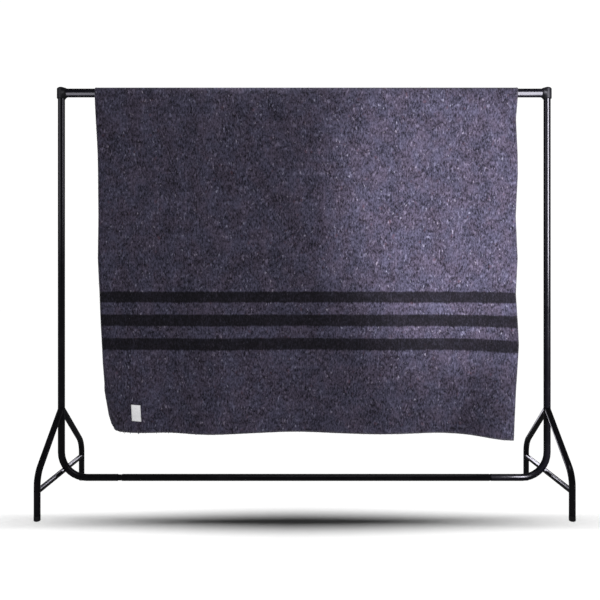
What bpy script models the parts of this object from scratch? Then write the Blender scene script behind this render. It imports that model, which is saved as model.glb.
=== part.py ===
"""A wool blanket hung over the top rail of a tubular garment rail.

Metres, +Z up, the front of the blanket faces -Y, the rack stands on Z = 0
with its middle at X = 0 and Y = 0.
"""
import math
from collections import namedtuple

import bmesh
import bpy
import numpy as np
from mathutils import Vector

Fold = namedtuple("Fold", "across forward half_width top")
Droop = namedtuple("Droop", "across lower half_width top")
Curl = namedtuple("Curl", "fall turn")
EdgeLine = namedtuple("EdgeLine", "fall left_in right_in")
Zone = namedtuple("Zone", "size steps")
Finish = namedtuple("Finish", "color roughness metallic")

# Gap that touching pieces keep
GAP = 0.0003

# Rack, driving sizes
UPRIGHT_X = 0.902
RAIL_Z = 1.5068
RAIL_RADIUS = 0.016
TUBE_RADIUS = 0.0127
UPRIGHT_FOOT_Z = 0.345
BASE_Z = 0.079
BASE_BEND_RADIUS = 0.094
BASE_ARM_END_X = 0.692
BASE_NECK_RADIUS = 0.0112
BASE_NECK_LEFT = 0.016
BASE_NECK_RIGHT = 0.004
LEG_RADIUS = 0.011
LEG_SPREAD = 0.23
LEG_TOP_Z = 0.338
LEG_SLOPE = 0.800
LEG_BEND_RADIUS = 0.08
CROSS_BAR_RADIUS = 0.0095
CROSS_BAR_Z = 0.099
LEG_COPE_REACH = 0.08
CROSS_BAR_COPE_REACH = 0.03

# Corner fittings
FITTING_RADIUS = 0.0162
FITTING_BOTTOM_Z = 1.4850
FITTING_TOP_Z = 1.529
FITTING_DOME = 0.008
FITTING_CHAMFER = 0.0015
SOCKET_TOP_Z = 1.5085
SOCKET_OVERRUN = 0.01
COLLAR_RADII = (0.0150, 0.0194, 0.0164)
COLLAR_STATIONS = (0.0, 0.0152, 0.0215)
COLLAR_END_EDGE = 0.0008

# Foot caps
CAP_RADIUS = 0.0112
CAP_FLAT_RADIUS = 0.0072
CAP_HEIGHT = 0.018

# Sides and steps of the round pieces, and what counts as one point or a sharp edge there
MERGE_DISTANCE = 0.00005
SHARP_ANGLE = math.radians(40)
ROUND_STEPS = 20
RAIL_SIDES = 24
TUBE_BEVEL = 8
LEG_BEVEL = 5
BEND_STEPS = 9
DOME_STEPS = 4

# Blanket, flat size and thickness
BLANKET_WIDTH = 1.56
FRONT_LENGTH = 1.287
BACK_LENGTH = 0.713
BLANKET_THICKNESS = 0.003
BLANKET_MIDDLE_X = 0.005
WRAP_CLEARANCE = 0.0006
WRAP_ANGLE = math.radians(80)
EASE_LENGTH = 0.05
EASE_STEPS = 24
FINE_STEPS = 520

# Soft folds of the front drop: metres from the left edge, forward at the hem
FRONT_FOLDS = (
    Fold(across=0.270, forward=-0.012, half_width=0.075, top=0.55),
    Fold(across=0.430, forward=0.027, half_width=0.120, top=0.20),
    Fold(across=0.745, forward=-0.025, half_width=0.130, top=0.45),
    Fold(across=1.060, forward=0.018, half_width=0.140, top=0.10),
    Fold(across=1.275, forward=-0.009, half_width=0.085, top=0.50),
    Fold(across=1.520, forward=0.064, half_width=0.110, top=0.45),
)
BACK_FOLDS = (
    Fold(across=0.210, forward=-0.020, half_width=0.120, top=0.15),
    Fold(across=0.560, forward=-0.004, half_width=0.110, top=0.35),
    Fold(across=0.880, forward=-0.017, half_width=0.150, top=0.20),
    Fold(across=1.330, forward=-0.024, half_width=0.130, top=0.10),
)

# Lower left corner rolls back, more towards the hem
CURL_WIDTH = 0.24
CURL_POWER = 2.5
LEFT_CURL = (
    Curl(fall=0.000, turn=0),
    Curl(fall=0.550, turn=5),
    Curl(fall=0.700, turn=11),
    Curl(fall=0.800, turn=18),
    Curl(fall=0.880, turn=28),
    Curl(fall=0.925, turn=46),
    Curl(fall=0.957, turn=57),
    Curl(fall=0.987, turn=72),
    Curl(fall=1.000, turn=86),
)
BACK_CURL = (
    Curl(fall=0.00, turn=0),
    Curl(fall=1.00, turn=14),
)

# How far the side edges hang in from the flat width, uneven as in the photo
EDGE_LINES = (
    EdgeLine(fall=0.00, left_in=0.001, right_in=-0.005),
    EdgeLine(fall=0.10, left_in=0.007, right_in=0.006),
    EdgeLine(fall=0.20, left_in=0.014, right_in=0.000),
    EdgeLine(fall=0.26, left_in=0.015, right_in=-0.001),
    EdgeLine(fall=0.38, left_in=0.016, right_in=0.007),
    EdgeLine(fall=0.50, left_in=0.013, right_in=0.000),
    EdgeLine(fall=0.60, left_in=0.018, right_in=0.009),
    EdgeLine(fall=0.74, left_in=0.020, right_in=-0.001),
    EdgeLine(fall=0.86, left_in=0.020, right_in=0.007),
    EdgeLine(fall=1.00, left_in=0.006, right_in=0.013),
)

# Lower right corner hangs a little lower
CORNER_DROOP = Droop(across=1.520, lower=0.018, half_width=0.110, top=0.45)

# Spacing of the blanket's points
COLUMN_ZONES = (Zone(0.15, 9), Zone(1.17, 19), Zone(0.24, 7))
WRAP_STEPS = 5
EASE_ZONE_STEPS = 2
FRONT_ZONES = (Zone(0.78, 10), Zone(0.42, 10))
BACK_ZONES = (Zone(0.63, 8),)

# Label sewn on near the lower left corner
LABEL_WIDTH = 0.0355
LABEL_LENGTH = 0.060
LABEL_THICKNESS = 0.0008
LABEL_GAP = 0.0004
LABEL_ACROSS = 0.139
LABEL_ABOVE_HEM = 0.0735
LABEL_SIDE_LEAN = math.radians(5.7)
LABEL_TOP_LEAN = math.radians(3.6)
LABEL_COLUMNS = 3
LABEL_ROWS = 4
NORMAL_STEP = 0.002

WOOL = Finish((0.060, 0.055, 0.078), 0.95, 0.0)
LABEL_WHITE = Finish((0.78, 0.78, 0.79), 0.80, 0.0)
BLACK_TUBE = Finish((0.012, 0.012, 0.014), 0.28, 0.0)
BLACK_PLASTIC = Finish((0.018, 0.018, 0.019), 0.45, 0.0)


def clear_scene():
    """Remove whatever objects the scene holds."""
    for thing in list(bpy.data.objects):
        bpy.data.objects.remove(thing, do_unlink=True)


def make_collection(name):
    """A collection linked to the scene."""
    collection = bpy.data.collections.new(name)
    bpy.context.scene.collection.children.link(collection)
    return collection


def make_material(name, finish):
    """A Principled material with one colour, roughness and metallic value."""
    material = bpy.data.materials.new(name)
    material.use_nodes = True
    shader = material.node_tree.nodes["Principled BSDF"]
    shader.inputs["Base Color"].default_value = (*finish.color, 1.0)
    shader.inputs["Roughness"].default_value = finish.roughness
    shader.inputs["Metallic"].default_value = finish.metallic
    material.diffuse_color = (*finish.color, 1.0)
    return material


def add_object(name, data, collection, finish):
    """Link an object with a material of its own."""
    thing = bpy.data.objects.new(name, data)
    collection.objects.link(thing)
    data.materials.append(make_material(name, finish))
    return thing


def add_cylinder(name, radius, start, end, sides, collection, finish):
    """A capped cylinder between two points."""
    start = Vector(start)
    end = Vector(end)
    mesh = bpy.data.meshes.new(name)
    shape = bmesh.new()
    bmesh.ops.create_cone(shape, cap_ends=True, segments=sides, radius1=radius, radius2=radius,
                          depth=(end - start).length)
    shape.to_mesh(mesh)
    shape.free()
    mesh.shade_smooth()
    mesh.set_sharp_from_angle(angle=SHARP_ANGLE)
    thing = add_object(name, mesh, collection, finish)
    thing.location = (start + end) / 2
    thing.rotation_mode = "QUATERNION"
    thing.rotation_quaternion = (end - start).to_track_quat("Z", "Y")
    return thing


def add_turned(name, profile, collection, finish):
    """Turn a profile of (radius, height) points, listed from the top, about the object's Z axis."""
    mesh = bpy.data.meshes.new(name)
    points = [(radius, 0.0, height) for radius, height in profile]
    edges = [(index, index + 1) for index in range(len(points) - 1)]
    mesh.from_pydata(points, edges, [])
    thing = add_object(name, mesh, collection, finish)
    screw = thing.modifiers.new("Turn", "SCREW")
    screw.steps = ROUND_STEPS
    screw.render_steps = ROUND_STEPS
    screw.use_merge_vertices = True
    screw.merge_threshold = MERGE_DISTANCE
    return thing


def add_tube(name, radius, points, bevel, collection, finish):
    """A bent tube along the points, as a mesh with welded caps."""
    curve = bpy.data.curves.new(name + "_route", "CURVE")
    curve.dimensions = "3D"
    curve.bevel_depth = radius
    curve.bevel_resolution = bevel
    curve.render_resolution_u = 0
    curve.use_fill_caps = True
    spline = curve.splines.new("POLY")
    spline.points.add(len(points) - 1)
    for spline_point, place in zip(spline.points, points):
        spline_point.co = (*place, 1.0)
    route = bpy.data.objects.new(name + "_route", curve)
    collection.objects.link(route)
    depsgraph = bpy.context.evaluated_depsgraph_get()
    mesh = bpy.data.meshes.new_from_object(route.evaluated_get(depsgraph))
    route_place = route.matrix_world.copy()
    bpy.data.objects.remove(route, do_unlink=True)
    mesh.name = name
    mesh.materials.clear()
    shape = bmesh.new()
    shape.from_mesh(mesh)
    bmesh.ops.remove_doubles(shape, verts=shape.verts, dist=MERGE_DISTANCE)
    shape.to_mesh(mesh)
    shape.free()
    mesh.shade_smooth()
    mesh.set_sharp_from_angle(angle=SHARP_ANGLE)
    thing = add_object(name, mesh, collection, finish)
    thing.matrix_world = route_place
    return thing


def hide_cutter(cutter):
    """Show a cutter as wire only."""
    cutter.hide_render = True
    cutter.display_type = "WIRE"


def combine(target, tool, operation):
    """Join a tool to the target, or cut it away."""
    hide_cutter(tool)
    boolean = target.modifiers.new(tool.name, "BOOLEAN")
    boolean.operation = operation
    boolean.solver = "EXACT"
    boolean.object = tool


def arc(center, radius, start_angle, end_angle, steps):
    """Points (a, b) along an arc, angles in degrees from the first axis."""
    points = []
    for index in range(steps + 1):
        angle = math.radians(start_angle + (end_angle - start_angle) * index / steps)
        points.append((center[0] + radius * math.cos(angle), center[1] + radius * math.sin(angle)))
    return points


def build_rail(parts):
    """The top rail, between the collars of the two corner fittings."""
    half = UPRIGHT_X - COLLAR_STATIONS[-1] - GAP
    add_cylinder("top_rail", RAIL_RADIUS, (-half, 0, RAIL_Z), (half, 0, RAIL_Z),
                 RAIL_SIDES, parts, BLACK_TUBE)


def build_corner(name, side, parts, cutters):
    """A plastic sleeve with a domed top and a collar towards the rail."""
    height = FITTING_TOP_Z - FITTING_BOTTOM_Z
    shoulder = height - FITTING_DOME
    profile = []
    for index in range(DOME_STEPS + 1):
        angle = math.pi / 2 * (1 - index / DOME_STEPS)
        profile.append((FITTING_RADIUS * math.cos(angle), shoulder + FITTING_DOME * math.sin(angle)))
    profile[0] = (0.0, height)
    profile.append((FITTING_RADIUS, FITTING_CHAMFER))
    profile.append((FITTING_RADIUS - FITTING_CHAMFER, 0.0))
    profile.append((0.0, 0.0))
    sleeve = add_turned(name, profile, parts, BLACK_PLASTIC)
    sleeve.location = (side * UPRIGHT_X, 0, FITTING_BOTTOM_Z)

    start_radius, wide_radius, end_radius = COLLAR_RADII
    start, wide, end = COLLAR_STATIONS
    collar_profile = [
        (0.0, end),
        (end_radius - COLLAR_END_EDGE, end),
        (end_radius, end - COLLAR_END_EDGE),
        (wide_radius, wide),
        (start_radius, start),
        (0.0, start),
    ]
    collar = add_turned(name + "_collar", collar_profile, cutters, BLACK_PLASTIC)
    collar.location = (side * UPRIGHT_X, 0, RAIL_Z)
    collar.rotation_euler = (0, -side * math.pi / 2, 0)
    combine(sleeve, collar, "UNION")

    socket = add_cylinder(name + "_socket", TUBE_RADIUS + GAP,
                          (side * UPRIGHT_X, 0, FITTING_BOTTOM_Z - SOCKET_OVERRUN),
                          (side * UPRIGHT_X, 0, SOCKET_TOP_Z), RAIL_SIDES, cutters, BLACK_PLASTIC)
    combine(sleeve, socket, "DIFFERENCE")


def build_upright(name, side, parts):
    """A straight tube from the base bend up into the corner fitting."""
    add_cylinder(name, TUBE_RADIUS, (side * UPRIGHT_X, 0, UPRIGHT_FOOT_Z),
                 (side * UPRIGHT_X, 0, SOCKET_TOP_Z - GAP), RAIL_SIDES, parts, BLACK_TUBE)


def build_base_bend(name, side, parts):
    """The lower tube that turns from the upright into the base bar."""
    center = (UPRIGHT_X - BASE_BEND_RADIUS, BASE_Z + BASE_BEND_RADIUS)
    route = [(UPRIGHT_X, UPRIGHT_FOOT_Z - GAP)]
    route += arc(center, BASE_BEND_RADIUS, 0, -90, BEND_STEPS)
    route.append((BASE_ARM_END_X, BASE_Z))
    points = [(side * x, 0.0, z) for x, z in route]
    add_tube(name, TUBE_RADIUS, points, TUBE_BEVEL, parts, BLACK_TUBE)


def build_base_bar(parts):
    """The straight bar between the two base bends, with a thinner neck at each end."""
    half = BASE_ARM_END_X - GAP
    profile = [
        (0.0, half),
        (BASE_NECK_RADIUS, half),
        (BASE_NECK_RADIUS, half - BASE_NECK_RIGHT),
        (TUBE_RADIUS, half - BASE_NECK_RIGHT),
        (TUBE_RADIUS, BASE_NECK_LEFT - half),
        (BASE_NECK_RADIUS, BASE_NECK_LEFT - half),
        (BASE_NECK_RADIUS, -half),
        (0.0, -half),
    ]
    bar = add_turned("base_bar", profile, parts, BLACK_TUBE)
    bar.location = (0, 0, BASE_Z)
    bar.rotation_euler = (0, math.pi / 2, 0)


def build_leg(name, side, depth_side, parts, cutters):
    """A leg that slopes out from the base bend and turns straight down to its foot cap."""
    lean = math.degrees(math.atan(1 / LEG_SLOPE))
    vertex_z = LEG_TOP_Z - LEG_SLOPE * LEG_SPREAD
    tangent = LEG_BEND_RADIUS * math.tan(math.radians(lean) / 2)
    center = (LEG_SPREAD - LEG_BEND_RADIUS, vertex_z - tangent)
    route = [(0.0, LEG_TOP_Z)]
    route += arc(center, LEG_BEND_RADIUS, lean, 0, BEND_STEPS)
    route.append((LEG_SPREAD, CAP_HEIGHT + GAP))
    points = [(side * UPRIGHT_X, depth_side * y, z) for y, z in route]
    leg = add_tube(name, LEG_RADIUS, points, LEG_BEVEL, parts, BLACK_TUBE)
    cope = add_cylinder(name + "_cope", TUBE_RADIUS + GAP,
                        (side * UPRIGHT_X, 0, LEG_TOP_Z - LEG_COPE_REACH),
                        (side * UPRIGHT_X, 0, LEG_TOP_Z + LEG_COPE_REACH),
                        RAIL_SIDES, cutters, BLACK_TUBE)
    combine(leg, cope, "DIFFERENCE")


def build_cross_bar(name, side, parts, cutters):
    """The short bar between the front and the back leg, coped to both."""
    bar = add_cylinder(name, CROSS_BAR_RADIUS, (side * UPRIGHT_X, -LEG_SPREAD, CROSS_BAR_Z),
                       (side * UPRIGHT_X, LEG_SPREAD, CROSS_BAR_Z), ROUND_STEPS, parts, BLACK_TUBE)
    low = CROSS_BAR_Z - CROSS_BAR_COPE_REACH
    high = CROSS_BAR_Z + CROSS_BAR_COPE_REACH
    for word, depth_side in (("front", -1), ("back", 1)):
        cope = add_cylinder(f"{name}_cope_{word}", LEG_RADIUS + GAP,
                            (side * UPRIGHT_X, depth_side * LEG_SPREAD, low),
                            (side * UPRIGHT_X, depth_side * LEG_SPREAD, high),
                            ROUND_STEPS, cutters, BLACK_TUBE)
        combine(bar, cope, "DIFFERENCE")


def build_foot_cap(name, side, depth_side, parts):
    """A rounded plastic cap with a flat sole."""
    rounding = CAP_RADIUS - CAP_FLAT_RADIUS
    corner = arc((CAP_FLAT_RADIUS, rounding), rounding, 0, -90, DOME_STEPS)
    profile = [(0.0, CAP_HEIGHT), (CAP_RADIUS, CAP_HEIGHT)] + corner + [(0.0, 0.0)]
    cap = add_turned(name, profile, parts, BLACK_PLASTIC)
    cap.location = (side * UPRIGHT_X, depth_side * LEG_SPREAD, 0)


def fold_rise(fall, top):
    """How far a fold has opened at this part of the drop, 0 to 1."""
    part = min(max((fall - top) / (1 - top), 0.0), 1.0)
    return part * part * (3 - 2 * part)


def bell(across, fold):
    """Soft rise and fall of one fold across the cloth."""
    return np.exp(-((across - fold.across) / fold.half_width) ** 2)


def level_line(across, fall, folds, curl):
    """X and Y of one level line of the cloth at the wanted places across, at true length.

    The line is followed in fine steps from the left edge. Its heading comes from the folds
    and from the roll of the left edge, so the cloth keeps its width around them.
    """
    fine = np.linspace(0.0, BLANKET_WIDTH, FINE_STEPS + 1)
    back = np.zeros_like(fine)
    for fold in folds:
        back -= fold.forward * fold_rise(fall, fold.top) * bell(fine, fold)
    heading = np.arctan(np.gradient(back, fine))
    turn = math.radians(np.interp(fall, [row.fall for row in curl], [row.turn for row in curl]))
    heading -= turn * np.clip(1 - fine / CURL_WIDTH, 0.0, 1.0) ** CURL_POWER
    step = BLANKET_WIDTH / FINE_STEPS
    middle_heading = (heading[1:] + heading[:-1]) / 2
    x = np.concatenate(([0.0], np.cumsum(np.cos(middle_heading) * step)))
    y = np.concatenate(([0.0], np.cumsum(np.sin(middle_heading) * step)))
    half = BLANKET_WIDTH / 2
    x += BLANKET_MIDDLE_X - np.interp(half, fine, x)
    y += np.interp(half, fine, back) - np.interp(half, fine, y)
    falls = [row.fall for row in EDGE_LINES]
    left_in = np.interp(fall, falls, [row.left_in for row in EDGE_LINES])
    right_in = np.interp(fall, falls, [row.right_in for row in EDGE_LINES])
    off_middle = (fine - half) / half
    x += np.where(off_middle < 0, left_in, -right_in) * off_middle ** 2
    return np.interp(across, fine, x), np.interp(across, fine, y)


def hang_path(distance):
    """Distance out from the rail's axis, and height, this far along the cloth from the crest.

    The cloth lies on the rail's top, leaves it a little before it is upright, and then hangs.
    """
    radius = wrap_radius()
    wrap_length = radius * WRAP_ANGLE
    on_rail = min(distance, wrap_length)
    angle = on_rail / radius
    out = radius * math.sin(angle)
    height = RAIL_Z + radius * math.cos(angle)
    left = min(distance - on_rail, EASE_LENGTH)
    for index in range(EASE_STEPS):
        part = (index + 0.5) / EASE_STEPS * left / EASE_LENGTH
        slope = WRAP_ANGLE + (math.pi / 2 - WRAP_ANGLE) * part
        out += math.cos(slope) * left / EASE_STEPS
        height -= math.sin(slope) * left / EASE_STEPS
    height -= max(distance - wrap_length - EASE_LENGTH, 0.0)
    return out, height


def wrap_radius():
    """Radius of the middle of the cloth where it lies on the rail."""
    return RAIL_RADIUS + WRAP_CLEARANCE + BLANKET_THICKNESS / 2


def hang_row(across, along):
    """World points of the cloth for places across, at one place along it.

    along is 0 at the crest, negative down the front and positive down the back.
    """
    in_front = along < 0
    distance = abs(along)
    length = FRONT_LENGTH if in_front else BACK_LENGTH
    fall = distance / length
    out, height = hang_path(distance)
    folds = FRONT_FOLDS if in_front else BACK_FOLDS
    curl = LEFT_CURL if in_front else BACK_CURL
    x, y = level_line(across, fall, folds, curl)
    base_y = -out if in_front else out
    droop = np.zeros_like(x)
    if in_front:
        droop = CORNER_DROOP.lower * fold_rise(fall, CORNER_DROOP.top) * bell(across, CORNER_DROOP)
    return np.column_stack((x, base_y + y, height - droop))


def spread(zones, start=0.0):
    """Places from the start through each zone, evenly spaced within a zone."""
    places = [start]
    for zone in zones:
        begin = places[-1]
        places += [begin + zone.size * (index + 1) / zone.steps for index in range(zone.steps)]
    return places


def rows_along():
    """Places along the cloth, from the front hem over the crest to the back hem."""
    wrap_length = wrap_radius() * WRAP_ANGLE
    near = (Zone(wrap_length, WRAP_STEPS), Zone(EASE_LENGTH, EASE_ZONE_STEPS))
    front = spread(near + FRONT_ZONES)
    front[-1] = FRONT_LENGTH
    back = spread(near + BACK_ZONES)
    back[-1] = BACK_LENGTH
    return [-place for place in reversed(front)] + back[1:]


def add_sheet(name, columns, rows, place_row, thickness, collection, finish):
    """A grid laid into shape row by row, then given its thickness."""
    mesh = bpy.data.meshes.new(name)
    shape = bmesh.new()
    bmesh.ops.create_grid(shape, x_segments=columns, y_segments=rows, size=1.0)
    laid_rows = [place_row(row) for row in range(rows + 1)]
    for vertex in shape.verts:
        column = round((vertex.co.x + 1) / 2 * columns)
        row = round((vertex.co.y + 1) / 2 * rows)
        vertex.co = Vector(laid_rows[row][column])
    shape.to_mesh(mesh)
    shape.free()
    mesh.shade_smooth()
    thing = add_object(name, mesh, collection, finish)
    solidify = thing.modifiers.new("Thickness", "SOLIDIFY")
    solidify.thickness = thickness
    solidify.offset = 0.0
    solidify.use_even_offset = True
    return thing


def build_blanket(parts):
    """The blanket as one thin sheet: front drop, crest over the rail and back drop."""
    across = spread(COLUMN_ZONES)
    across[-1] = BLANKET_WIDTH
    along = rows_along()
    columns = np.array(across)
    add_sheet("blanket", len(across) - 1, len(along) - 1, lambda row: hang_row(columns, along[row]),
              BLANKET_THICKNESS, parts, WOOL)


def lifted_point(across, along, lift):
    """A point this far in front of the middle of the cloth."""
    here, beside = hang_row(np.array([across, across + NORMAL_STEP]), along)
    above = hang_row(np.array([across]), along + NORMAL_STEP)[0]
    normal = Vector(beside - here).cross(Vector(above - here)).normalized()
    return Vector(here) + normal * lift


def build_label(parts):
    """A small woven label that follows the cloth near the lower left corner, pulled a little askew."""
    lift = BLANKET_THICKNESS / 2 + LABEL_GAP + LABEL_THICKNESS / 2

    def place_row(row):
        up = (row / LABEL_ROWS - 0.5) * LABEL_LENGTH
        points = []
        for column in range(LABEL_COLUMNS + 1):
            side = (column / LABEL_COLUMNS - 0.5) * LABEL_WIDTH
            across = LABEL_ACROSS + side - up * math.tan(LABEL_SIDE_LEAN)
            along = LABEL_ABOVE_HEM + up - side * math.tan(LABEL_TOP_LEAN) - FRONT_LENGTH
            points.append(lifted_point(across, along, lift))
        return points

    add_sheet("label", LABEL_COLUMNS, LABEL_ROWS, place_row, LABEL_THICKNESS, parts, LABEL_WHITE)


def main():
    """Build the rack, then the blanket on it."""
    clear_scene()
    parts = make_collection("wool_blanket_on_garment_rail")
    cutters = make_collection("cutters")
    build_rail(parts)
    build_base_bar(parts)
    for side_name, side in (("left", -1), ("right", 1)):
        build_corner(f"corner_fitting_{side_name}", side, parts, cutters)
        build_upright(f"upright_{side_name}", side, parts)
        build_base_bend(f"base_bend_{side_name}", side, parts)
        build_cross_bar(f"cross_bar_{side_name}", side, parts, cutters)
        for depth_name, depth_side in (("front", -1), ("back", 1)):
            place_name = f"{depth_name}_{side_name}"
            build_leg(f"leg_{place_name}", side, depth_side, parts, cutters)
            build_foot_cap(f"foot_cap_{place_name}", side, depth_side, parts)
    build_blanket(parts)
    build_label(parts)


main()
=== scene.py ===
# %% [markdown]
# # A wool blanket on a garment rail
#
# A milled wool blanket hangs over the top rail of a black tube rack. The rack stands on a white
# studio floor. This script dresses the plain solid model: it gives the cloth its small folds, its
# nap and its sewing, and it gives the rack smooth tubes with a gloss finish. Sizes are in metres,
# the front faces -Y and Z = 0 is the floor.

# %% Load the solid model
import math
from collections import namedtuple

import bmesh
import bpy
import numpy as np
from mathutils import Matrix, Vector, noise


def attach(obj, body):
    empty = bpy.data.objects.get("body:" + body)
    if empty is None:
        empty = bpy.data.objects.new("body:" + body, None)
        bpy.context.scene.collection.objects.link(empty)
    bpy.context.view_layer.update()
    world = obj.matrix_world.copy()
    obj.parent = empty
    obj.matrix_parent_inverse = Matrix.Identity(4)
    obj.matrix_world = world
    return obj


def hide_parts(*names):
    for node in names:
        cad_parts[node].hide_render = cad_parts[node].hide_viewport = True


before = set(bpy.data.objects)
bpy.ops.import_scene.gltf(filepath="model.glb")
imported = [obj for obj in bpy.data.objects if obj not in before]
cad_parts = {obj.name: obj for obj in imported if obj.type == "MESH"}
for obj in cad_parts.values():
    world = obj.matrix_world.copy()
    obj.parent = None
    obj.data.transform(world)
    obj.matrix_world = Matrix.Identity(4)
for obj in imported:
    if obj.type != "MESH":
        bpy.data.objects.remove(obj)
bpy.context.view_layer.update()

# %% [markdown]
# ## Camera
#
# The picture was taken from straight in front, a little left of the middle and at half the rack's
# height, so the horizon is a level line. A level camera keeps the uprights upright. The horizon
# lies 21 pixels above the middle of the picture, which a small downward shift of the lens gives.

# %% Set the camera
IMAGE_SIDE = 600
HORIZON_ROW = 279
CAMERA_PLACE = (-0.0158, -2.487, 0.816)
CAMERA_LENS = 40.17

camera_data = bpy.data.cameras.new("photo_camera")
camera_data.lens = CAMERA_LENS
camera_data.shift_y = (HORIZON_ROW - IMAGE_SIDE / 2) / IMAGE_SIDE
camera = bpy.data.objects.new("photo_camera", camera_data)
camera.location = CAMERA_PLACE
camera.rotation_euler = (math.radians(90), 0, 0)
bpy.context.scene.collection.objects.link(camera)
bpy.context.scene.camera = camera
print("camera shift", round(camera_data.shift_y, 4))

# %% [markdown]
# ## Small helpers
#
# Node trees are easier to read when one line makes a node and one line joins two sockets. Every finished
# piece rides on the one body of the model and hides the plain solids that it stands for.

# %% Helpers for nodes and for finished pieces
MIX_INPUTS = (0, 6, 7)
MIX_RESULT = 2


def fill_input(tree, socket, value):
    """Give an input its value, or a link where the value is another node's socket."""
    if isinstance(value, bpy.types.NodeSocket):
        tree.links.new(value, socket)
    else:
        socket.default_value = value


def add_node(tree, kind, inputs=None, **settings):
    """A node of this kind, with its settings and its named inputs filled."""
    node = tree.nodes.new(kind)
    for name, value in settings.items():
        setattr(node, name, value)
    for name, value in (inputs or {}).items():
        fill_input(tree, node.inputs[name], value)
    return node


def math_node(tree, operation, *operands):
    """The result of a Math node whose inputs are numbers or sockets."""
    node = add_node(tree, "ShaderNodeMath", operation=operation)
    for socket, value in zip(node.inputs, operands):
        fill_input(tree, socket, value)
    return node.outputs[0]


def ramp_between(tree, value, low, high, from_zero=0.0, to_one=1.0):
    """A smooth step of a value from low to high."""
    limits = {"Value": value, "From Min": low, "From Max": high, "To Min": from_zero, "To Max": to_one}
    return add_node(tree, "ShaderNodeMapRange", limits, interpolation_type="SMOOTHSTEP").outputs["Result"]


def mix_colors(tree, factor, first, second):
    """A colour mix whose colours are tuples or sockets."""
    node = add_node(tree, "ShaderNodeMix", data_type="RGBA")
    for index, value in zip(MIX_INPUTS, (factor, first, second)):
        fill_input(tree, node.inputs[index], (*value, 1.0) if isinstance(value, tuple) else value)
    return node.outputs[MIX_RESULT]


def new_material(name):
    """A material, its tree and its Principled shader."""
    material = bpy.data.materials.new(name)
    material.use_nodes = True
    tree = material.node_tree
    return material, tree, tree.nodes["Principled BSDF"]


def finish_shader(tree, shader, color, height, bump, plain):
    """Colour and bump of a surface, and the values that are the same all over it."""
    strength, depth = bump
    raised = add_node(tree, "ShaderNodeBump", {"Strength": strength, "Distance": depth, "Height": height})
    for name, value in {"Base Color": color, "Normal": raised.outputs["Normal"], **plain}.items():
        fill_input(tree, shader.inputs[name], value)


def object_noise(tree, scale, detail, roughness=0.5):
    """Noise on the coordinates of the piece itself."""
    values = {"Scale": scale, "Detail": detail, "Roughness": roughness}
    place = add_node(tree, "ShaderNodeTexCoord").outputs["Object"]
    return add_node(tree, "ShaderNodeTexNoise", {"Vector": place, **values}).outputs["Fac"]


def flat_coordinates(tree):
    """The flat coordinates of a sheet, and the one of them that runs along it."""
    flat = add_node(tree, "ShaderNodeUVMap", uv_map="flat").outputs["UV"]
    return flat, add_node(tree, "ShaderNodeSeparateXYZ", {"Vector": flat}).outputs["Y"]


def finish_piece(piece, slot, *nodes):
    """Let a piece ride on the body and hide the solids it stands for. The slot is not used."""
    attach(piece, "root")
    if nodes:
        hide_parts(*nodes)
    return piece


def add_mesh_object(name, mesh, material):
    """Link a mesh as an object at the origin, with one material."""
    thing = bpy.data.objects.new(name, mesh)
    bpy.context.scene.collection.objects.link(thing)
    mesh.materials.clear()
    mesh.materials.append(material)
    return thing


def count_triangles(piece):
    """Triangles of the piece as it is shown."""
    depsgraph = bpy.context.evaluated_depsgraph_get()
    mesh = piece.evaluated_get(depsgraph).data
    return sum(len(face.vertices) - 2 for face in mesh.polygons)


# %% [markdown]
# ## Wool
#
# The blanket is woven from recycled wool and then milled and raised, so its surface is short
# felted hair in grey, violet and near black, with pale flecks and now and then a red one. The hair
# lies along the warp, which makes short upright streaks. Three near black stripes cross the cloth
# by each end. The pattern is worked out from the cloth's own flat coordinates, in metres, so that
# it follows the folds and keeps its size. Noise with unlike scales gives the grain and the clouds,
# and the peaks of further noise give the flecks, so that each has a shape of its own.

# %% Stripes and colours of the wool
BLANKET_LENGTH = 2.0
STRIPES = ((0.306, 0.350), (0.394, 0.437), (0.481, 0.521))
STRIPE_EDGE = 0.0035
STRIPE_WANDER = 0.0030
WOOL_DARK = (0.0056, 0.0051, 0.0083)
WOOL_PALE = (0.0870, 0.0790, 0.1260)
WOOL_STRIPE = (0.0064, 0.0058, 0.0082)
WARM_TINT = (1.045, 0.975, 0.970)
COOL_TINT = (0.975, 1.00, 1.03)
Noise = namedtuple("Noise", "scale weight offset")
GROUND_NOISES = (
    Noise(scale=(175, 80), weight=1.00, offset=0.0),
    Noise(scale=(360, 130), weight=0.55, offset=17.0),
    Noise(scale=(50, 34), weight=0.40, offset=5.0),
    Noise(scale=(13, 9), weight=0.36, offset=9.0),
)
GROUND_RANGE = (0.84, 1.50)
GRAIN_ROUGHNESS = 0.65
CLUSTER_SCALE = (24, 17)
CLUSTER_OFFSET = 53.0
CLUSTER_RANGE = (0.36, 0.64, 0.10, 1.0)
WARMTH_SCALE = (17, 12)
WARMTH_OFFSET = 41.0
WARMTH_RANGE = (0.38, 0.62)
WANDER_SCALE = (38, 60)
WANDER_OFFSET = 23.0
WORN_RANGE = (1.50, 0.90, 0.80, 0.97)
NOISE_DETAIL = 2.0
NOISE_ROUGHNESS = 0.6
NOISE_MEAN = 0.5
FLECK_DETAIL = 1.0
FLECK_ROUGHNESS = 0.5
WOOL_BUMP = (0.60, 0.0022)
WOOL_PLAIN = {"Roughness": 0.95, "Specular IOR Level": 0.06, "Sheen Weight": 0.06, "Sheen Roughness": 0.55}
Fleck = namedtuple("Fleck", "scale low high strength color offset")
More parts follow.
